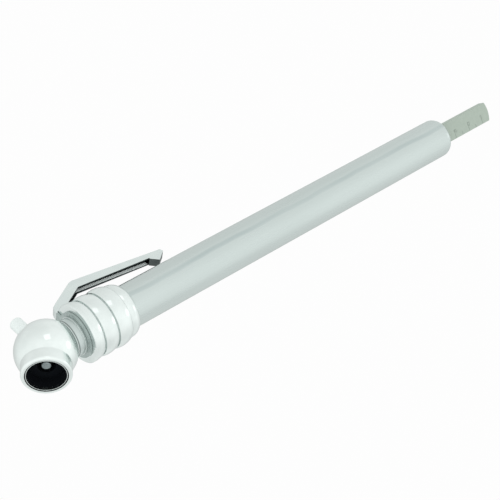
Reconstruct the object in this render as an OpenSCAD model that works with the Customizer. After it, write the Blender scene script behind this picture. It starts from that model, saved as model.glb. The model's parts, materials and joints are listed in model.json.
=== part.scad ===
// Pencil tyre pressure gauge: ball head with an angled chuck, ribbed collar,
// pocket clip, aluminium barrel and a flat sliding indicator bar.
// The gauge lies on its side, barrel along +X, +Z up, resting on its ball.
// The origin is the middle of the chuck mouth's metal bore.
// Each sub-part is drawn about the ball's centre with the bleed peg up,
// then laid_down() rolls it to rest and moves the chuck mouth to the origin.

/* [Head] */
// Diameter of the ball
ball_d = 14.1; // [13.8:0.1:14.6]
// Angle of the chuck's axis from the barrel's axis
chuck_tilt = 54; // [50:0.1:58]
// Distance from the ball's centre to the chuck's rim
chuck_reach = 7.5; // [7.3:0.02:7.8]
// Outside diameter of the chuck
chuck_d = 11.1; // [10.9:0.02:11.6]
// Inside diameter of the metal ring in the chuck's mouth
mouth_d = 8.7; // [8.6:0.05:8.8]
// Diameter of the bleed peg
peg_d = 3.1; // [2.8:0.1:3.4]
// Distance from the ball's centre to the bleed peg's end
peg_reach = 11.4; // [9.5:0.1:12]

/* [Barrel] */
// Outside diameter of the barrel
barrel_d = 10.2; // [10.1:0.05:10.3]
// Wall of the barrel
barrel_wall = 0.6; // [0.5:0.05:0.65]
// Distance from the ball's centre to the barrel's far lip
barrel_end = 129; // [120:0.1:150]
// Diameter of the opening in the barrel's far lip
lip_d = 7; // [6.6:0.1:7.4]

/* [Collar] */
// Number of ribs on the collar
rib_count = 3; // [2:1:3]
// Distance from one rib to the next
rib_pitch = 3.85; // [3.7:0.05:4]
// Diameter over the ribs
rib_d = 14.3; // [14:0.02:14.4]

/* [Clip] */
// Turn of the clip about the neck
clip_turn = 5; // [0:0.5:10]
// Width of the clip's arm
clip_w = 2.3; // [2:0.1:2.8]
// Thickness of the clip's sheet
clip_sheet = 0.5; // [0.4:0.05:0.5]

/* [Indicator] */
// Width of the indicator bar
bar_w = 5.1; // [4.6:0.1:5.2]
// Thickness of the indicator bar
bar_t = 2; // [1.6:0.1:2]
// Length of bar that stands out of the barrel at rest
bar_shown = 19.1; // [5:0.1:30]
// Length of bar left out when it is pushed home
bar_home = 0.7; // [0.3:0.1:1]
// Turn of the bar about the barrel's axis
bar_turn = 36; // [0:1:45]

/* [Spring] */
// Diameter of the main spring's wire
wire_d = 0.6; // [0.5:0.05:0.7]
// Number of turns in the main spring
spring_turns = 24; // [18:1:26]

/* [Resting] */
// Roll about the barrel's axis at which the gauge lies still
lie_angle = 84; // [60:0.5:90]

/* [Hidden] */

smooth = 96;             // facets shown on a full turn
fit = 0.02;              // gap between parts that are pressed together
slip = 0.05;             // gap between parts that slide

ball_r = ball_d / 2;
barrel_r = barrel_d / 2;
bore_r = barrel_r - barrel_wall;
chuck_r = chuck_d / 2;
mouth_r = mouth_d / 2;
peg_r = peg_d / 2;
rib_r = rib_d / 2;
lip_r = lip_d / 2;

// Chuck, measured inward from the rim
rim_round = 0.55;
pocket_r = 4.72;
pocket_depth = 5.2;
ring_front = 0.12;
ring_depth = 1;
ring_bevel = 0.5;        // length of the bevel round the ring's outer front edge
ring_land = 0.12;        // width of the flat rim inside that bevel
gasket_seat = 3.2;
gasket_seat_r = 3.75;
gasket_hole_r = 2;
pin_r = 1.1;
pin_depth = 3;
pin_root_depth = 5.4;
pin_root = 1.6;
pin_round = 0.3;
pin_web_r = 2.4;         // corners of the three-sided web that holds the pin
passage_r = 1.6;
chuck_front = chuck_reach - ring_front;
chuck_back = chuck_reach - ring_depth;
mouth_mid = (chuck_front + chuck_back) / 2;

// Bleed peg
peg_root = ball_r - 3;
peg_round = 0.45;

// Neck and spigot, measured from the ball's centre along the barrel
neck_r = 4.3;
neck_bead_r = 4.6;
neck_bead_x = 7.3;
neck_x = 7.75;
spigot_r = bore_r - slip;
spigot_x = 18;
spigot_passage_r = 1.2;
groove_x = 13;
groove_w = 1.9;
seal_r = 0.75;
groove_r = bore_r - fit - 2 * seal_r - fit;

// Clip ring and collar
clip_ring_x = neck_x + fit;
clip_ring_r = 5.5;
collar_x = clip_ring_x + clip_sheet + slip;
collar_lip = 0.95;
collar_chamfer = 0.25;   // width of the bevel round the collar's front
seat_r = barrel_r - slip;
collar_bore_r = seat_r + 0.03;
rib_round = 5;           // radius of each rib's crown
rib_crest = 0.4;         // where the crown peaks, as a share of the pitch
rib_groove = 0.25;       // width of the groove behind each rib
rib_groove_r = rib_r - 0.75;
ribs_x = collar_x - 0.94; // start of the first rib, which the collar's front cuts short
ribs_end = ribs_x + rib_count * rib_pitch;
tail_len = 2.8;
tail_r = 6.45;
tail_round = 2.5;        // radius of the tail's crown
tail_crest = 0.8;        // where that crown peaks, behind the last rib
collar_end = ribs_end + tail_len;

// Barrel's domed end
barrel_x = collar_x + collar_lip + fit;
dome_len = 2;
dome_x = barrel_end - dome_len;
dome_r = (dome_len * dome_len + pow(barrel_r - lip_r, 2)) / (2 * (barrel_r - lip_r));

// Clip arm, as distance along the barrel and from its axis
hinge_x = clip_ring_x + clip_sheet / 2;
hinge_r = 7;
clip_root = [clip_ring_x, hinge_r];
clip_curl = [7.85, 7.7];
clip_curl_end = [8.25, 8.6];
clip_shoulder = [9.3, 9.25];
clip_bend = [16, 12.87];
clip_tip = [39.4, 9.15];
clip_nose = [39.7, 8.3];
clip_toe = [37.2, 6.45];
clip_fold = [35.45, 8.1];
clip_bend_round = 0.5;   // length of the small flat that softens the bend
clip_path = [
    clip_root,
    clip_curl,
    clip_curl_end,
    clip_shoulder,
    clip_bend - clip_bend_round * toward(clip_shoulder, clip_bend),
    clip_bend + clip_bend_round * toward(clip_bend, clip_tip),
    clip_tip,
    clip_nose,
    clip_toe,
    clip_fold
];
cheek_t = 0.4;
cheek_bend = [16.5, 10.43];
cheek_foot = [11.6, 7.75];
cheek_heel = [10.2, 7.42];
clip_half = clip_w / 2;

// Piston and spring, in the measuring stroke at which the bar stands out by bar_shown
stroke = bar_shown - bar_home;
cup_x = spigot_x + 1 + stroke;
cup_lip = 2.5;
cup_floor = 1;
cup_r = bore_r - fit;
cup_inner_r = 3.5;
cup_edge = 0.35;         // thickness of the cup's lip
cup_bevel = 0.3;
floor_x = cup_x + cup_lip;
flange_x = floor_x + cup_floor + fit;
flange_len = 2;
flange_r = bore_r - 4 * slip;
nose_x = flange_x + flange_len;
nose_len = 5;
nose_r = 2.9;
screw_r = 0.9;
screw_len = 4.2;
screw_head_r = 1.7;
screw_head_len = 0.9;
screw_slot_w = 0.5;
screw_slot_depth = 0.4;
screw_room = 0.3;        // depth left beyond the screw's end
cup_washer_r = 2.8;
cup_washer_t = 0.6;

// End bush, spring washer and bar
bush_x = barrel_end - 7.6;
bush_r = bore_r - 0.03;
bush_recess = 1;         // depth of the bush's face behind the lip
washer_t = 0.6;
washer_hole_r = 3.3;
washer_x = bush_x - washer_t - fit;
spring_x = nose_x + fit;
spring_end = washer_x - fit;
spring_r = 3.75;
bar_x = nose_x + nose_len + fit;
bar_end = barrel_end + bar_shown;
bar_corner = 0.5;
bar_nose_r = 6.5;        // radius of the bar's bowed end
foot_x = bar_x + 0.1;
foot_len = 2.5;
foot_wall = 0.4;
leaf_w = 2;
leaf_t = 0.2;
leaf_len = 4.4;
leaf_rise = 0.55;
leaf_room = 0.1;         // clearance at each end of the leaf
leaf_x = bush_x + 0.8;

// Where the chuck's mouth comes to rest
mouth_at = [-mouth_mid * cos(chuck_tilt),
            -mouth_mid * sin(chuck_tilt) * sin(lie_angle),
            -mouth_mid * sin(chuck_tilt) * cos(lie_angle)];

// Rolls the gauge onto its side and puts the chuck's mouth at the origin
module laid_down() {
    translate(-mouth_at) rotate([-lie_angle, 0, 0]) children();
}

// Spins a flat outline, drawn with x along the axis and y as the radius
module spun() {
    rotate([0, 90, 0]) rotate_extrude($fn = smooth) mirror([1, -1, 0]) children();
}

// A round bar from x0 to x1
module rod(x0, x1, r) {
    translate([x0, 0, 0]) rotate([0, 90, 0]) cylinder(h = x1 - x0, r = r, $fn = smooth);
}

// Faces +X along the chuck's axis, out of its mouth
module along_chuck() {
    rotate([0, 180 - chuck_tilt, 0]) children();
}

// Faces +X along the bleed peg
module along_peg() {
    rotate([0, -90, 0]) children();
}

// Flat half outline of a bar whose far edge is rounded, x0 to x1
module rounded_outline(x0, x1, r, round) {
    translate([x0, 0]) square([x1 - x0 - round, r]);
    translate([x0, 0]) square([x1 - x0, r - round]);
    translate([x1 - round, r - round]) circle(r = round, $fn = smooth);
}

module head_casting() {
    laid_down() color("gainsboro") difference() {
        union() {
            sphere(r = ball_r, $fn = smooth);
            along_chuck() spun() rounded_outline(0, chuck_reach, chuck_r, rim_round);
            rod(0, neck_x, neck_r);
            rod(neck_bead_x, neck_x, neck_bead_r);
            rod(0, spigot_x, spigot_r);
        }
        along_chuck() {
            rod(chuck_reach - pocket_depth, chuck_reach + 1, pocket_r);
            rod(-passage_r, chuck_reach, passage_r);
        }
        rod(0, spigot_x + 1, spigot_passage_r);
        along_peg() rod(peg_root, ball_r + 1, peg_r + fit / 2);
        spun() translate([groove_x, groove_r]) square([groove_w, spigot_r]);
    }
}

module mouth_ring() {
    laid_down() color("silver") along_chuck() spun() polygon([
        [chuck_back, mouth_r],
        [chuck_back, pocket_r - fit],
        [chuck_front - ring_bevel, pocket_r - fit],
        [chuck_front, mouth_r + ring_land],
        [chuck_front, mouth_r]
    ]);
}

module chuck_gasket() {
    laid_down() color("#10151a") along_chuck() spun() polygon([
        [chuck_reach - pocket_depth + fit, gasket_hole_r],
        [chuck_reach - pocket_depth + fit, pocket_r - fit],
        [chuck_back - fit, pocket_r - fit],
        [chuck_back - fit, mouth_r - slip],
        [chuck_reach - gasket_seat, gasket_seat_r],
        [chuck_reach - gasket_seat, gasket_hole_r]
    ]);
}

module depressor_pin() {
    pin_tip = chuck_reach - pin_depth;
    root_front = chuck_reach - pin_root_depth;
    laid_down() color("darkgray") along_chuck() {
        spun() rounded_outline(root_front - pin_root, pin_tip, pin_r, pin_round);
        intersection() {
            rod(root_front - pin_root, root_front, passage_r - fit / 2);
            translate([root_front - pin_root, 0, 0]) rotate([0, 90, 0])
                cylinder(h = pin_root, r = pin_web_r, $fn = 3);
        }
    }
}

module bleed_peg() {
    laid_down() color("whitesmoke") along_peg()
        spun() rounded_outline(peg_root + fit, peg_reach, peg_r, peg_round);
}

module clip_ring() {
    laid_down() color("silver") rotate([clip_turn, 0, 0]) difference() {
        union() {
            rod(clip_ring_x, clip_ring_x + clip_sheet, clip_ring_r);
            translate([clip_ring_x, -clip_half, 0])
                cube([clip_sheet, clip_w, hinge_r - clip_sheet / 2 - fit]);
        }
        rod(clip_ring_x - 1, clip_ring_x + clip_sheet + 1, spigot_r + slip);
    }
}

// One rib's half outline: a crown that peaks towards the front, then a groove
module rib_outline(x) {
    intersection() {
        translate([x, 0]) square([rib_pitch - rib_groove, rib_r]);
        translate([x + rib_crest * rib_pitch, rib_r - rib_round]) circle(r = rib_round, $fn = smooth);
    }
    translate([x, 0]) square([rib_pitch, rib_groove_r]);
}

// The collar's tail, rounded down from the last rib to the barrel
module tail_outline() {
    intersection() {
        translate([ribs_end, 0]) square([tail_len, tail_r]);
        translate([ribs_end + tail_crest, tail_r - tail_round]) circle(r = tail_round, $fn = smooth);
    }
    translate([ribs_end, 0]) square([tail_len, tail_r - tail_round]);
}

module collar() {
    laid_down() color("gainsboro") spun() difference() {
        union() {
            for (i = [0 : rib_count - 1]) rib_outline(ribs_x + i * rib_pitch);
            tail_outline();
        }
        translate([ribs_x - 1, 0]) square([collar_x - ribs_x + 1, rib_r + 1]);
        translate([ribs_x, 0]) square([collar_end, spigot_r + slip]);
        translate([collar_x + collar_lip, 0]) square([collar_end, collar_bore_r]);
        translate([collar_x, rib_r]) rotate(45) square(collar_chamfer * sqrt(2), center = true);
    }
}

module barrel_seal() {
    laid_down() color("#22262a") spun()
        translate([groove_x + groove_w / 2, groove_r + fit + seal_r]) circle(r = seal_r, $fn = smooth);
}

// Half outline of a closed-down tube end: straight to dome_x, then an arc to the lip
module domed_outline(x0, r) {
    translate([x0, 0]) square([dome_x - x0, r]);
    intersection() {
        translate([dome_x - 1, 0]) square([dome_len + 1, r]);
        translate([dome_x, barrel_r - dome_r]) circle(r = dome_r - barrel_r + r, $fn = smooth * 2);
    }
}

module barrel() {
    laid_down() color("lightgray") spun() difference() {
        union() {
            translate([barrel_x, 0]) square([collar_end + 1 - barrel_x, seat_r]);
            domed_outline(collar_end + fit, barrel_r);
        }
        domed_outline(barrel_x - 1, bore_r);
        translate([dome_x, 0]) square([dome_len + 1, lip_r]);
    }
}

// The bar's rectangular section, grown by gap on every side
module bar_block(x0, x1, gap) {
    rotate([-bar_turn, 0, 0]) translate([x0, -bar_w / 2 - gap, -bar_t / 2 - gap])
        cube([x1 - x0, bar_w + 2 * gap, bar_t + 2 * gap]);
}

module end_bush() {
    laid_down() color("dimgray") difference() {
        spun() intersection() {
            domed_outline(bush_x, bush_r);
            translate([bush_x, 0]) square([barrel_end - bush_recess - bush_x, bush_r]);
        }
        bar_block(bush_x - 1, barrel_end + 1, slip);
        rotate([-bar_turn, 0, 0]) translate([leaf_x - leaf_room, -leaf_w / 2 - slip, 0])
            cube([leaf_len + 2 * leaf_room, leaf_w + 2 * slip, bar_t / 2 + slip + leaf_rise + leaf_t + fit]);
    }
}

// An arched strip that bears on the bar's wide face
module friction_leaf() {
    arch_r = (pow(leaf_len / 2, 2) + leaf_rise * leaf_rise) / (2 * leaf_rise);
    arch_z = bar_t / 2 + fit / 2 + arch_r + leaf_t;
    laid_down() color("goldenrod") rotate([-bar_turn, 0, 0]) translate([leaf_x + leaf_len / 2, 0, arch_z])
        intersection() {
            rotate([90, 0, 0]) difference() {
                cylinder(h = leaf_w, r = arch_r + leaf_t, center = true, $fn = smooth);
                cylinder(h = leaf_w + 1, r = arch_r, center = true, $fn = smooth);
            }
            translate([-leaf_len / 2, -leaf_w, -2 * arch_r]) cube([leaf_len, 2 * leaf_w, arch_r + leaf_rise]);
        }
}

module spring_washer() {
    laid_down() color("silver") difference() {
        rod(washer_x, washer_x + washer_t, bore_r - 2 * slip);
        rod(washer_x - 1, washer_x + washer_t + 1, washer_hole_r);
    }
}

module piston() {
    laid_down() color("darkgoldenrod") difference() {
        union() {
            rod(flange_x, nose_x, flange_r);
            rod(flange_x, nose_x + nose_len, nose_r);
        }
        rod(flange_x - 1, floor_x + screw_len + screw_room, screw_r + fit / 2);
    }
}

module piston_cup() {
    laid_down() color("#22262a") spun() polygon([
        [floor_x, screw_r + fit],
        [floor_x + cup_floor, screw_r + fit],
        [floor_x + cup_floor, flange_r - cup_bevel],
        [floor_x + cup_floor - cup_bevel, cup_r - 2 * slip],
        [cup_x, cup_r],
        [cup_x, cup_r - cup_edge],
        [floor_x, cup_inner_r]
    ]);
}

module cup_washer() {
    laid_down() color("silver") difference() {
        rod(floor_x - cup_washer_t - fit, floor_x - fit, cup_washer_r);
        rod(cup_x, floor_x + 1, screw_r + fit / 2);
    }
}

module piston_screw() {
    head_x = floor_x - cup_washer_t - 2 * fit;
    laid_down() color("goldenrod") difference() {
        union() {
            rod(head_x - screw_head_len, head_x, screw_head_r);
            rod(head_x - screw_head_len, floor_x + screw_len, screw_r);
        }
        translate([head_x - screw_head_len - 1, -screw_slot_w / 2, -screw_head_r - 1])
            cube([1 + screw_slot_depth, screw_slot_w, 2 * screw_head_r + 2]);
    }
}

// Wire of a coil spring: a ring of points at each step along the helix
coil_steps = 16;
wire_sides = 6;
coil_count = spring_turns * coil_steps;
coil_rise = spring_end - spring_x - wire_d;
function coil_point(i, k) =
    let (turn = 360 * i / coil_steps, side = 360 * k / wire_sides, r = spring_r + wire_d / 2 * cos(side))
    [spring_x + wire_d / 2 + coil_rise * i / coil_count + wire_d / 2 * sin(side), r * cos(turn), r * sin(turn)];

module main_spring() {
    points = [for (i = [0 : coil_count]) for (k = [0 : wire_sides - 1]) coil_point(i, k)];
    walls = [for (i = [0 : coil_count - 1]) for (k = [0 : wire_sides - 1])
        let (a = i * wire_sides + k, b = i * wire_sides + (k + 1) % wire_sides)
        [a, b, b + wire_sides, a + wire_sides]];
    first = [for (k = [wire_sides - 1 : -1 : 0]) k];
    last = [for (k = [0 : wire_sides - 1]) coil_count * wire_sides + k];
    laid_down() color("slategray") polyhedron(points, concat(walls, [first, last]));
}

module indicator_bar() {
    laid_down() color("#b7c2b6") rotate([-bar_turn, 0, 0]) translate([bar_x, 0, -bar_t / 2])
        linear_extrude(bar_t) difference() {
            for (s = [-1, 1]) scale([1, s]) rounded_outline(0, bar_end - bar_x, bar_w / 2, bar_corner);
            translate([bar_end - bar_x - bar_nose_r, 0]) difference() {
                square([3 * bar_nose_r, 2 * bar_w], center = true);
                circle(r = bar_nose_r, $fn = smooth);
                translate([-2 * bar_nose_r, -2 * bar_w]) square([2 * bar_nose_r, 4 * bar_w]);
            }
        }
}

module bar_foot() {
    laid_down() color("goldenrod") difference() {
        bar_block(foot_x, foot_x + foot_len, foot_wall);
        bar_block(bar_x - 1, bar_x + foot_len + 1, fit / 2);
    }
}

// Direction from one point to another
function toward(from, to) = (to - from) / norm(to - from);

// The side of a step on which the barrel lies, a quarter turn to its right
function inward(from, to) = let (step = toward(from, to)) [step[1], -step[0]];

// The path's points moved inward by a depth, last point first
function inset(path, depth) = [
    for (i = [len(path) - 1:-1:0])
        let (
            before = inward(path[max(i, 1) - 1], path[max(i, 1)]),
            after = inward(path[min(i, len(path) - 2)], path[min(i, len(path) - 2) + 1])
        )
        path[i] + depth * (before + after) / (1 + before * after)
];

// One side wall of the clip's channel, from the root to the folded toe
module clip_cheek() {
    polygon(concat(inset(clip_path, clip_sheet / 2), [cheek_heel, cheek_foot, cheek_bend]));
}

module clip_arm() {
    laid_down() color("silver") rotate([clip_turn, 0, 0]) rotate([90, 0, 0]) {
        translate([0, 0, -clip_half]) linear_extrude(clip_w) {
            polygon(concat(clip_path, inset(clip_path, clip_sheet)));
            translate([hinge_x, hinge_r]) circle(r = clip_sheet / 2, $fn = smooth);
        }
        for (z = [-clip_half, clip_half - cheek_t])
            translate([0, 0, z]) linear_extrude(cheek_t) clip_cheek();
    }
}

head_casting();
mouth_ring();
chuck_gasket();
depressor_pin();
bleed_peg();
clip_ring();
collar();
barrel_seal();
barrel();
end_bush();
friction_leaf();
spring_washer();
piston();
piston_cup();
cup_washer();
piston_screw();
main_spring();
indicator_bar();
bar_foot();
clip_arm();
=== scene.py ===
"""Looks for a pencil tyre pressure gauge: materials, printed scale, light and camera."""
import json
import math

import bpy
import bmesh
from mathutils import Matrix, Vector


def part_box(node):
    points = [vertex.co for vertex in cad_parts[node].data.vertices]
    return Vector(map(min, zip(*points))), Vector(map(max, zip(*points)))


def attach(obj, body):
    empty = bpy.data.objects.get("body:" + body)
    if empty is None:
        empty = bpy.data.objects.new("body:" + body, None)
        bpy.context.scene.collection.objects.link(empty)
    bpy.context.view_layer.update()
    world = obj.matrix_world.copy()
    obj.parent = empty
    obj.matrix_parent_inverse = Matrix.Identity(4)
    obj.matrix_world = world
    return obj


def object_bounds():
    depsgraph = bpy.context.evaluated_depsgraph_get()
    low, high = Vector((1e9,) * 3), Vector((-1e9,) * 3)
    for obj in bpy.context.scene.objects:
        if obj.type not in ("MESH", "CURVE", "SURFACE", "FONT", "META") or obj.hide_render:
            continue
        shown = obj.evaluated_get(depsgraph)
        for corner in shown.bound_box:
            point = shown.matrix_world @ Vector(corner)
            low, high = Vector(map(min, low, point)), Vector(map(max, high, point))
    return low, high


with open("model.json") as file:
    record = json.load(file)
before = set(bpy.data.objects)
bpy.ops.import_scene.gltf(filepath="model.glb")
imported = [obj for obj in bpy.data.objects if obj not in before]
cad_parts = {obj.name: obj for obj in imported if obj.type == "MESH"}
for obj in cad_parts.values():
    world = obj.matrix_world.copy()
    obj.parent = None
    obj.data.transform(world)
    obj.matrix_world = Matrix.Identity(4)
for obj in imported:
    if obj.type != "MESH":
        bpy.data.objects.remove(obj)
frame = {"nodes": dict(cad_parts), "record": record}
cad_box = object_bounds()

MM = 0.001
ALONG = Vector((1, 0, 0))
UP = Vector((0, 0, 1))

# ---------------------------------------------------------------- places taken from the frame

barrel_low, barrel_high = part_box("barrel")
axis_y = (barrel_low.y + barrel_high.y) / 2
axis_z = (barrel_low.z + barrel_high.z) / 2
peg_low, peg_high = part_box("bleed_peg")
ball = Vector(((peg_low.x + peg_high.x) / 2, axis_y, axis_z))
mouth = next(m for m in frame["record"]["mounts"] if m["name"] == "chuck_mouth")
mouth_at, mouth_axis = Vector(mouth["pos_m"]), Vector(mouth["axis"])
floor_z = cad_box[0][2]

TOE_LENGTH = 4.6 * MM
TOE_ROOM = 0.7 * MM
CHEEK_SLOPE = 0.123
clip_low, clip_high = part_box("clip_arm")
clip_middle = (clip_low + clip_high) / 2
clip_out = Vector((0, clip_middle.y - axis_y, clip_middle.z - axis_z)).normalized()
clip_side = ALONG.cross(clip_out)
toe_start = clip_high.x - TOE_LENGTH
# square to the edges of the clip's channel, which slope a little along the arm
cheek_normal = (clip_out + ALONG * CHEEK_SLOPE).normalized()
arm_points = [v.co for v in frame["nodes"]["clip_arm"].data.vertices]
cheek_edge = min(p.dot(cheek_normal) for p in arm_points if clip_middle.x < p.x < toe_start + TOE_ROOM)

# ---------------------------------------------------------------- sizes of the painted areas

NECK_START, NECK_END, NECK_R = 5.5 * MM, 7.2 * MM, 4.45 * MM
CORNER_W = 0.25 * MM
POCKET_R, POCKET_TOP, POCKET_FLOOR = 4.74 * MM, 0.4 * MM, -5.2 * MM
# where the painted dark reflection of the clip lies along the top of the barrel
CLIP_REFLECTION_ACROSS = Vector((0, 0.94, 0.34))
CLIP_REFLECTION_HALF_W, CLIP_REFLECTION_WANDER = 0.75 * MM, 0.35 * MM
# depths, past the cheek edges, of the pale band of painted light inside the clip's channel
LIT_BAND_START, LIT_BAND_END = 0.12 * MM, 0.95 * MM

# ---------------------------------------------------------------- materials


class Shader:
    """A material with a Principled surface, and short calls for the nodes that drive it."""

    def __init__(self, name, color, metallic, roughness):
        self.mat = bpy.data.materials.new(name)
        self.mat.use_nodes = True
        self.tree = self.mat.node_tree
        self.surface = self.tree.nodes["Principled BSDF"]
        self.surface.inputs["Base Color"].default_value = (*color, 1)
        self.surface.inputs["Metallic"].default_value = metallic
        self.surface.inputs["Roughness"].default_value = roughness

    def node(self, kind, **settings):
        made = self.tree.nodes.new(kind)
        for key, value in settings.items():
            setattr(made, key, value)
        return made

    def link(self, output, target):
        self.tree.links.new(output, target)

    def place(self, scale=(1, 1, 1)):
        """Object coordinates in metres, stretched by scale."""
        coordinates = self.node("ShaderNodeTexCoord")
        mapping = self.node("ShaderNodeMapping")
        mapping.inputs["Scale"].default_value = scale
        self.link(coordinates.outputs["Object"], mapping.inputs["Vector"])
        return mapping.outputs["Vector"]

    def noise(self, scale, detail=3.0, stretch=(1, 1, 1), rough=0.55):
        made = self.node("ShaderNodeTexNoise")
        made.inputs["Scale"].default_value = scale
        made.inputs["Detail"].default_value = detail
        made.inputs["Roughness"].default_value = rough
        self.link(self.place(stretch), made.inputs["Vector"])
        return made.outputs["Fac"]

    def spread(self, value, low, high, start=0.3, end=0.7):
        """Maps a 0-1 pattern, read between start and end, to low-high."""
        made = self.node("ShaderNodeMapRange")
        made.inputs["From Min"].default_value = start
        made.inputs["From Max"].default_value = end
        made.inputs["To Min"].default_value = low
        made.inputs["To Max"].default_value = high
        self.link(value, made.inputs["Value"])
        return made.outputs["Result"]

    def above(self, value, edge, soft):
        """1 where value is past an edge and its soft border, 0 before it."""
        return self.spread(value, 0, 1, edge, edge + soft)

    def below(self, value, edge, soft):
        """1 where value is short of an edge, 0 past its soft border."""
        return self.spread(value, 1, 0, edge, edge + soft)

    def blend(self, value, first, second):
        """A colour between first and second, by value."""
        made = self.node("ShaderNodeMix", data_type="RGBA")
        made.inputs["A"].default_value = (*first, 1)
        made.inputs["B"].default_value = (*second, 1)
        self.link(value, made.inputs["Factor"])
        return made.outputs["Result"]

    def vector(self, operation, first, second=None, result="Vector"):
        """A vector sum, difference, product or length; the second value can be a link or a constant."""
        made = self.node("ShaderNodeVectorMath", operation=operation)
        self.link(first, made.inputs[0])
        if isinstance(second, Vector):
            made.inputs[1].default_value = second
        elif second is not None:
            self.link(second, made.inputs[1])
        return made.outputs[result]

    def maths(self, operation, first, second):
        made = self.node("ShaderNodeMath", operation=operation)
        self.link(first, made.inputs[0])
        self.link(second, made.inputs[1])
        return made.outputs[0]

    def times(self, *values):
        product = values[0]
        for value in values[1:]:
            product = self.maths("MULTIPLY", product, value)
        return product

    def reach(self, point, direction):
        """How far a point lies along a direction."""
        return self.vector("DOT_PRODUCT", point, direction, "Value")

    def round_axis(self, origin, axis):
        """Distance along an axis from origin, and distance from the axis, as two links."""
        away = self.vector("SUBTRACT", self.place(), origin)
        along = self.reach(away, axis)
        across = self.vector("LENGTH", self.vector("CROSS_PRODUCT", away, axis), result="Value")
        return along, across

    def mix(self, target, mask, value, blend_type="MIX"):
        """Puts value over what an input of the surface has already, where mask is 1."""
        socket = self.surface.inputs[target]
        if isinstance(value, tuple):
            made = self.node("ShaderNodeMix", data_type="RGBA", blend_type=blend_type)
            kind, value = "_Color", (*value, 1)
        else:
            made = self.node("ShaderNodeMix", data_type="FLOAT")
            kind = "_Float"
        slots = {slot.identifier: slot for slot in (*made.inputs, *made.outputs)}
        slots["A" + kind].default_value = socket.default_value
        slots["B" + kind].default_value = value
        if socket.links:
            self.link(socket.links[0].from_socket, slots["A" + kind])
        self.link(mask, slots["Factor_Float"])
        self.link(slots["Result" + kind], socket)

    def paint(self, mask, color, roughness):
        self.mix("Base Color", mask, color)
        self.mix("Roughness", mask, roughness)

    def shade_hollows(self, reach, color):
        """Paints shade into grooves and corners, from ambient occlusion over a distance of reach."""
        made = self.node("ShaderNodeAmbientOcclusion", samples=8)
        made.inputs["Distance"].default_value = reach
        self.mix("Base Color", self.spread(made.outputs["AO"], 1, 0, 0.25, 0.95), color, "MULTIPLY")

    def rounded_edges(self, radius):
        made = self.node("ShaderNodeBevel", samples=6)
        made.inputs["Radius"].default_value = radius
        return made.outputs["Normal"]

    def bump(self, height, depth, strength=1.0, normal=None):
        made = self.node("ShaderNodeBump")
        made.inputs["Distance"].default_value = depth
        made.inputs["Strength"].default_value = strength
        self.link(height, made.inputs["Height"])
        if normal:
            self.link(normal, made.inputs["Normal"])
        self.link(made.outputs["Normal"], self.surface.inputs["Normal"])


def plated(name, light, dark, roughness, edge=0.12 * MM):
    """Bright plating over a casting: faint mottling, smudges in the shine and a soft orange-peel skin."""
    shader = Shader(name, light, 1.0, roughness)
    cloud = shader.spread(shader.noise(260, 4), 0, 1)
    shader.link(shader.blend(cloud, light, dark), shader.surface.inputs["Base Color"])
    smudge = shader.spread(shader.noise(420, 5, rough=0.65), roughness * 0.7, roughness * 1.7)
    shader.link(smudge, shader.surface.inputs["Roughness"])
    shader.bump(shader.noise(900, 2), 0.012 * MM, 0.35, shader.rounded_edges(edge))
    return shader


def cast_head(name, light, dark):
    """Plated casting with painted shade on its neck, a painted shadow where the neck meets the ball, and
    painted shade in its chuck pocket and hollows.
    """
    shader = plated(name, light, dark, 0.11)
    along, across = shader.round_axis(ball, ALONG)
    start = shader.above(along, NECK_START, CORNER_W)
    neck_end = shader.below(along, NECK_END, 0.1 * MM)
    corner_end = shader.below(along, NECK_START + CORNER_W, CORNER_W)
    thin = shader.below(across, NECK_R, 0.1 * MM)
    # painted shade: the neck, in the recess between ball and collar, is painted a darker grey
    shader.paint(shader.times(start, neck_end, thin), (0.62, 0.67, 0.66), 0.2)
    # painted shadow: a near-black band in the crease where the neck meets the ball
    shader.paint(shader.times(start, corner_end, thin), (0.14, 0.17, 0.165), 0.4)
    depth, radius = shader.round_axis(mouth_at, mouth_axis)
    below_rim = shader.below(depth, POCKET_TOP, 0.1 * MM)
    above_floor = shader.above(depth, POCKET_FLOOR, 0.2 * MM)
    inside = shader.below(radius, POCKET_R, 0.06 * MM)
    # painted shade: the chuck pocket's wall and the rim's inner edge are painted near-black
    shader.paint(shader.times(below_rim, above_floor, inside), (0.02, 0.025, 0.03), 0.5)
    # painted shade in the hollows round the ball, neck and chuck
    shader.shade_hollows(1.6 * MM, (0.55, 0.57, 0.57))
    return shader


def ribbed_collar(name, light, dark):
    """Plated casting, greyed by painted shade down in its grooves."""
    shader = plated(name, light, dark, 0.12, 0.2 * MM)
    # painted shade in the grooves between the ribs
    shader.shade_hollows(1.2 * MM, (0.90, 0.915, 0.915))
    return shader


def lit_peg(name, light, dark):
    """The pin end's plating as a lighter, half-metallic copy with a soft shine: painted light that makes it
    read brighter than the plating round it.
    """
    shader = plated(name, light, dark, 0.3, 0.2 * MM)
    shader.surface.inputs["Metallic"].default_value = 0.45
    return shader


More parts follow.
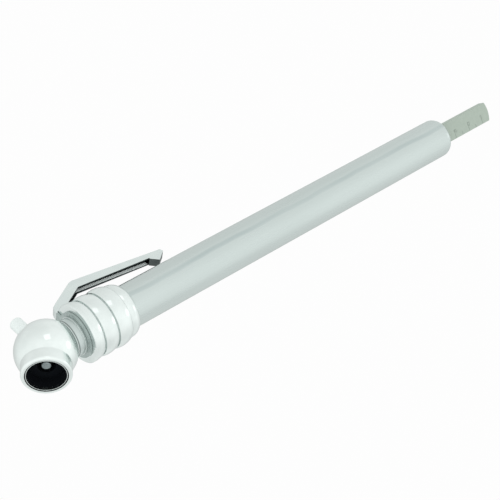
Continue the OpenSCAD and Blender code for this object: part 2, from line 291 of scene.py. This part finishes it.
def drawn_tube(name, light, dark):
    """Satin aluminium: slightly wavy, with fine drawing lines and one faint painted dark reflection of the
    clip along its upper side.
    """
    shader = Shader(name, light, 1.0, 0.24)
    cloud = shader.spread(shader.noise(90, 3, (0.25, 1, 1)), 0, 1)
    shader.link(shader.blend(cloud, light, dark), shader.surface.inputs["Base Color"])
    lines = shader.noise(5200, 4, (0.012, 1, 1), 0.7)
    shader.link(shader.spread(lines, 0.20, 0.29), shader.surface.inputs["Roughness"])
    waves = shader.node("ShaderNodeBump")
    waves.inputs["Distance"].default_value = 0.06 * MM
    shader.link(shader.noise(55, 1, (0.8, 1, 1)), waves.inputs["Height"])
    shader.link(shader.rounded_edges(0.15 * MM), waves.inputs["Normal"])
    shader.bump(lines, 0.004 * MM, 0.15, waves.outputs["Normal"])
    # painted reflection: a faint dark stripe along the barrel's upper side, under the clip
    away = shader.vector("SUBTRACT", shader.place(), ball)
    wander = shader.spread(shader.noise(45, 2, (1, 0.05, 0.05)), -CLIP_REFLECTION_WANDER, CLIP_REFLECTION_WANDER)
    offset = shader.maths("ADD", shader.reach(away, CLIP_REFLECTION_ACROSS), wander)
    clip_reflection = shader.below(shader.times(offset, offset), 0, CLIP_REFLECTION_HALF_W ** 2)
    upper = shader.above(shader.reach(away, UP), 0, 1 * MM)
    broken = shader.spread(shader.noise(30, 2, (1, 0.05, 0.05)), 0.25, 0.9)
    shader.paint(shader.times(clip_reflection, upper, broken), (0.50, 0.56, 0.56), 0.24)
    return shader


def turned_metal(name, light, dark, roughness):
    """A small lathe-turned part, with rings round the barrel's axis direction."""
    shader = Shader(name, light, 1.0, roughness)
    rings = shader.noise(9000, 3, (1, 0.02, 0.02), 0.6)
    shader.link(shader.blend(shader.spread(rings, 0, 1), light, dark), shader.surface.inputs["Base Color"])
    shader.link(shader.spread(rings, roughness * 0.8, roughness * 1.4), shader.surface.inputs["Roughness"])
    shader.bump(rings, 0.004 * MM, 0.5, shader.rounded_edges(0.08 * MM))
    return shader


def matt_solid(name, light, dark, roughness, grain, depth, shine=0.5):
    """Rubber or moulded plastic: fine grain in colour, shine and height."""
    shader = Shader(name, light, 0.0, roughness)
    shader.surface.inputs["Specular IOR Level"].default_value = shine
    fine = shader.noise(grain, 4, rough=0.6)
    shader.link(shader.blend(shader.spread(fine, 0, 1), light, dark), shader.surface.inputs["Base Color"])
    shader.link(shader.spread(fine, roughness * 0.85, roughness * 1.15), shader.surface.inputs["Roughness"])
    shader.bump(fine, depth, 0.6, shader.rounded_edges(0.1 * MM))
    return shader


def clip_sheet(name, light, dark, painted_shade, painted_light):
    """Plated sheet: bright outside; painted shade makes its cut edges, underside and inner faces dull and
    dark, and a pale band of painted light lies inside its channel.
    """
    shader = plated(name, light, dark, 0.12, 0.06 * MM)
    normal = shader.node("ShaderNodeNewGeometry").outputs["True Normal"]
    point = shader.place()
    off_centre = shader.vector("SUBTRACT", point, clip_middle)
    under = shader.above(shader.reach(normal, -clip_out), 0.5, 0.25)
    inward = shader.times(shader.reach(off_centre, clip_side), shader.reach(normal, clip_side))
    inner = shader.below(inward, -0.3 * MM, 0.1 * MM)
    # painted shade: the underside, cut edges and inner faces of the channel are painted near-black
    for mask in (under, inner):
        shader.paint(mask, painted_shade, 0.35)
    # painted light: a pale, non-metallic band inside the channel, where light reaches through its opening
    depth = shader.reach(point, cheek_normal)
    lit_band_start = shader.above(depth, cheek_edge + LIT_BAND_START, 0.13 * MM)
    lit_band_end = shader.below(depth, cheek_edge + LIT_BAND_END, 0.15 * MM)
    before_toe = shader.below(shader.reach(point, ALONG), toe_start, 0.2 * MM)
    lit_band = shader.times(lit_band_start, lit_band_end, inner, before_toe)
    shader.paint(lit_band, painted_light, 0.45)
    shader.mix("Metallic", lit_band, 0.0)
    return shader


MATERIALS = {
    "plated_zinc": plated("plated_zinc", (0.91, 0.94, 0.93), (0.845, 0.88, 0.87), 0.11),
    "satin_aluminium": drawn_tube("satin_aluminium", (0.655, 0.70, 0.69), (0.625, 0.67, 0.66)),
    "clip_steel": plated("clip_steel", (0.80, 0.84, 0.83), (0.74, 0.78, 0.77), 0.13, 0.06 * MM),
    "rubber": matt_solid("rubber", (0.002, 0.003, 0.005), (0.004, 0.005, 0.007), 0.85, 2400, 0.02 * MM, 0.1),
    "bar_plastic": matt_solid("bar_plastic", (0.445, 0.50, 0.44), (0.42, 0.475, 0.415), 0.5, 900, 0.01 * MM),
    "bush_plastic": matt_solid(
        "bush_plastic", (0.006, 0.007, 0.007), (0.010, 0.011, 0.011), 0.7, 1500, 0.01 * MM, 0.1
    ),
    "brass": turned_metal("brass", (0.78, 0.60, 0.30), (0.70, 0.52, 0.25), 0.25),
    "spring_steel": turned_metal("spring_steel", (0.55, 0.57, 0.58), (0.45, 0.47, 0.48), 0.3),
}
SPECIAL = {
    "head_casting": cast_head("head_zinc", (0.93, 0.96, 0.95), (0.85, 0.885, 0.875)),
    "collar": ribbed_collar("collar_zinc", (0.90, 0.93, 0.92), (0.82, 0.855, 0.845)),
    # painted light: the pin end is a lighter, half-metallic copy of the plating
    "bleed_peg": lit_peg("peg_lit_plating", (0.93, 0.96, 0.955), (0.89, 0.93, 0.92)),
    # near-black painted shade on the underside and inside of the channel, and a pale band of painted light
    # inside it
    "clip_arm": clip_sheet(
        "clip_sheet", (0.80, 0.84, 0.83), (0.75, 0.79, 0.785), (0.03, 0.04, 0.04), (0.95, 0.98, 0.975)
    ),
    # painted shade: the clip ring, sunk in the collar's recess, is a darker copy of the plating
    "clip_ring": plated("clip_ring_shaded_steel", (0.52, 0.58, 0.565), (0.38, 0.43, 0.42), 0.2, 0.06 * MM),
    "depressor_pin": plated("pin_steel", (0.36, 0.40, 0.41), (0.29, 0.33, 0.335), 0.35, 0.1 * MM),
}

for entry in frame["record"]["subparts"]:
    part = frame["nodes"][entry["node"]]
    shader = SPECIAL.get(entry["node"], MATERIALS[entry["material_slot"]])
    part.data.materials.clear()
    part.data.materials.append(shader.mat)

# ---------------------------------------------------------------- the printed scale on the bar

SEGMENTS = {
    "a": ((0, 2), (1, 2)), "b": ((1, 2), (1, 1)), "c": ((1, 1), (1, 0)), "d": ((0, 0), (1, 0)),
    "e": ((0, 1), (0, 0)), "f": ((0, 2), (0, 1)), "g": ((0, 1), (1, 1)),
}
DIGITS = {"0": "abcdef", "1": "bc", "2": "abged", "3": "abgcd", "4": "fgbc", "5": "afgcd"}
FIRST_MARK, MARK_STEP, EDGE_GAP = 3.2 * MM, 2.75 * MM, 0.1 * MM
LONG_TICK, SHORT_TICK, TICK_W = 1.1 * MM, 0.7 * MM, 0.13 * MM
DIGIT_W, DIGIT_H, DIGIT_RISE, DIGIT_PITCH, INK_W = 0.5 * MM, 0.42 * MM, 1.5 * MM, 1.5, 0.1 * MM
PRINT_T = 0.008 * MM
UNPRINTED_LENGTH = 30 * MM
NUMBER_STEP = 5


def make_scale():
    """Ticks along the bar's lower edge and a number over every second one, as thin raised print."""
    bar = frame["nodes"]["indicator_bar"]
    low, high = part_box("indicator_bar")
    towards = Vector((0, -1, 1)).normalized()
    facing = [p for p in bar.data.polygons if p.normal.dot(towards) > 0.5]
    normal = max(facing, key=lambda p: p.area).normal.copy()
    across = ALONG.cross(normal) if ALONG.cross(normal).z > 0 else normal.cross(ALONG)
    reach = [v.co.dot(across) for v in bar.data.vertices]
    face = max(v.co.dot(normal) for v in bar.data.vertices)
    edge = min(reach)
    mesh = bmesh.new()

    def point(from_tip, from_edge):
        return ALONG * (high.x - from_tip) + across * (edge + from_edge) + normal * (face + PRINT_T)

    def stroke(start, end, width):
        """A printed line between two points, each a distance from the tip and one from the edge."""
        a, b = point(*start), point(*end)
        run = (b - a).normalized() * width / 2
        side = normal.cross(run)
        top = [mesh.verts.new(c) for c in (a - run - side, b + run - side, b + run + side, a - run + side)]
        base = [mesh.verts.new(v.co - normal * PRINT_T * 1.5) for v in top]
        mesh.faces.new(top)
        mesh.faces.new(base[::-1])
        for k in range(4):
            mesh.faces.new((top[k - 1], base[k - 1], base[k], top[k]))

    for k in range(int((high.x - low.x - UNPRINTED_LENGTH) / MARK_STEP)):
        x = FIRST_MARK + k * MARK_STEP
        numbered = k % 2 == 0
        stroke((x, EDGE_GAP), (x, EDGE_GAP + (LONG_TICK if numbered else SHORT_TICK)), TICK_W)
        text = str(NUMBER_STEP * (k // 2 + 1))
        if not numbered or any(c not in DIGITS for c in text):
            continue
        left = x + (len(text) * DIGIT_PITCH - 0.5) * DIGIT_W / 2
        for n, digit in enumerate(text):
            corner = left - n * DIGIT_PITCH * DIGIT_W
            for name in DIGITS[digit]:
                ends = [(corner - u * DIGIT_W, DIGIT_RISE + v * DIGIT_H) for u, v in SEGMENTS[name]]
                stroke(*ends, INK_W)
    data = bpy.data.meshes.new("scale_marks")
    bmesh.ops.recalc_face_normals(mesh, faces=mesh.faces)
    mesh.to_mesh(data)
    mesh.free()
    ink = matt_solid("print_grey", (0.30, 0.345, 0.30), (0.27, 0.315, 0.275), 0.6, 1200, 0.002 * MM)
    data.materials.append(ink.mat)
    marks = bpy.data.objects.new("scale_marks", data)
    bpy.context.scene.collection.objects.link(marks)
    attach(marks, "indicator")


make_scale()

# ---------------------------------------------------------------- stage, light and camera

VIEW_AZIMUTH, VIEW_ELEVATION = -43.03, 36.29
azimuth = math.radians(VIEW_AZIMUTH)
NEAR_SIDE = Vector((math.sin(azimuth), -math.cos(azimuth), 0))
RIGHT_SIDE = Vector((math.cos(azimuth), math.sin(azimuth), 0))
STUDIO_TINT = (0.955, 1.0, 0.985)
# glow of the studio by how far a direction leans toward its bright side, from -1 to 1
GLOW_STOPS = [(-0.9, 0.84), (-0.65, 0.91), (-0.3, 0.97), (0.1, 1.02), (0.45, 1.06), (0.8, 1.02)]
BRIGHT_TOWARD = (NEAR_SIDE * 0.75 + RIGHT_SIDE * 0.5 + UP * -0.45).normalized()
BACK_DIP = 0.15
LOW_DIP = 0.2
# a small bright window, seen as the sharp highlights on the plating
SPARK_TOWARD = Vector((0.89, -0.44, 0.13)).normalized()
SPARK_GLOW = 0.45
LAMP_FROM_BALL, LAMP_SIZE, LAMP_POWER = Vector((0.10, -0.04, 0.75)), 0.26, 0.05
FLOOR_SIZE, FLOOR_GAP, FLOOR_GLOW = 12, 0.02 * MM, 0.985
AIM_FROM_BALL = Vector((57.22, -3.03, 0)) * MM
CAMERA_DISTANCE = 329.12 * MM
LENS = 100.13


def make_world():
    """Soft white studio: brightest low on the near right, dimmer overhead, dimmest low behind."""
    world = bpy.data.worlds.new("studio")
    bpy.context.scene.world = world
    world.use_nodes = True
    tree = world.node_tree
    link = tree.links.new
    background = tree.nodes["Background"]
    direction = tree.nodes.new("ShaderNodeTexCoord").outputs["Generated"]

    def toward(vector):
        made = tree.nodes.new("ShaderNodeVectorMath")
        made.operation = "DOT_PRODUCT"
        made.inputs[1].default_value = vector
        link(direction, made.inputs[0])
        return made.outputs["Value"]

    def ramp(value, start, end, low, high, shape="SMOOTHSTEP"):
        made = tree.nodes.new("ShaderNodeMapRange")
        made.interpolation_type = shape
        for name, number in (("From Min", start), ("From Max", end), ("To Min", low), ("To Max", high)):
            made.inputs[name].default_value = number
        link(value, made.inputs["Value"])
        return made.outputs["Result"]

    def maths(operation, first, second):
        made = tree.nodes.new("ShaderNodeMath")
        made.operation = operation
        for value, slot in zip((first, second), made.inputs):
            if isinstance(value, (int, float)):
                slot.default_value = value
            else:
                link(value, slot)
        return made.outputs[0]

    curve = tree.nodes.new("ShaderNodeFloatCurve")
    points = curve.mapping.curves[0].points
    while len(points) < len(GLOW_STOPS):
        points.new(0.5, 0.5)
    for spot, (place, glow) in zip(points, GLOW_STOPS):
        spot.location = ((place + 1) / 2, glow / 2)
    curve.mapping.update()
    link(ramp(toward(BRIGHT_TOWARD), -1, 1, 0, 1, "LINEAR"), curve.inputs["Value"])
    glow = maths("MULTIPLY", curve.outputs["Value"], 2)
    behind = ramp(toward(-NEAR_SIDE), 0.1, 0.8, 0, BACK_DIP)
    low = ramp(toward(-UP), -0.3, 0.3, 0, 1)
    glow = maths("SUBTRACT", glow, maths("MULTIPLY", behind, low))
    glow = maths("SUBTRACT", glow, ramp(toward(-UP), 0.1, 0.8, 0, LOW_DIP))
    glow = maths("ADD", glow, ramp(toward(SPARK_TOWARD), 0.98, 0.998, 0, SPARK_GLOW))
    background.inputs["Color"].default_value = (*STUDIO_TINT, 1)
    link(glow, background.inputs["Strength"])


def make_floor():
    """A white sheet that only the camera sees; everything else sees the studio round it."""
    bpy.ops.mesh.primitive_plane_add(size=FLOOR_SIZE, location=(ball.x, ball.y, floor_z - FLOOR_GAP))
    floor = bpy.context.object
    floor.name = "floor"
    mat = bpy.data.materials.new("floor_white")
    mat.use_nodes = True
    tree = mat.node_tree
    tree.nodes.clear()
    rays = tree.nodes.new("ShaderNodeLightPath")
    white = tree.nodes.new("ShaderNodeEmission")
    white.inputs["Strength"].default_value = FLOOR_GLOW
    clear = tree.nodes.new("ShaderNodeBsdfTransparent")
    mix = tree.nodes.new("ShaderNodeMixShader")
    out = tree.nodes.new("ShaderNodeOutputMaterial")
    tree.links.new(rays.outputs["Is Camera Ray"], mix.inputs["Fac"])
    tree.links.new(clear.outputs["BSDF"], mix.inputs[1])
    tree.links.new(white.outputs["Emission"], mix.inputs[2])
    tree.links.new(mix.outputs["Shader"], out.inputs["Surface"])
    floor.data.materials.append(mat)


def soft_light(name, place, aim, size, power):
    data = bpy.data.lights.new(name, "AREA")
    data.energy = power
    data.size = size
    lamp = bpy.data.objects.new(name, data)
    bpy.context.scene.collection.objects.link(lamp)
    lamp.location = place
    lamp.rotation_euler = (aim - place).to_track_quat("-Z", "Y").to_euler()


def make_camera(aim, distance, lens):
    data = bpy.data.cameras.new("camera")
    data.lens = lens
    data.sensor_width = 36
    data.clip_start = 0.01
    camera = bpy.data.objects.new("camera", data)
    bpy.context.scene.collection.objects.link(camera)
    elevation = math.radians(VIEW_ELEVATION)
    back = NEAR_SIDE * math.cos(elevation) + UP * math.sin(elevation)
    camera.location = aim + back * distance
    camera.rotation_euler = (-back).to_track_quat("-Z", "Y").to_euler()
    bpy.context.scene.camera = camera


make_floor()
make_world()
soft_light("overhead", ball + LAMP_FROM_BALL, ball, LAMP_SIZE, LAMP_POWER)
make_camera(ball + AIM_FROM_BALL, CAMERA_DISTANCE, LENS)
bpy.context.scene.view_settings.view_transform = "Standard"
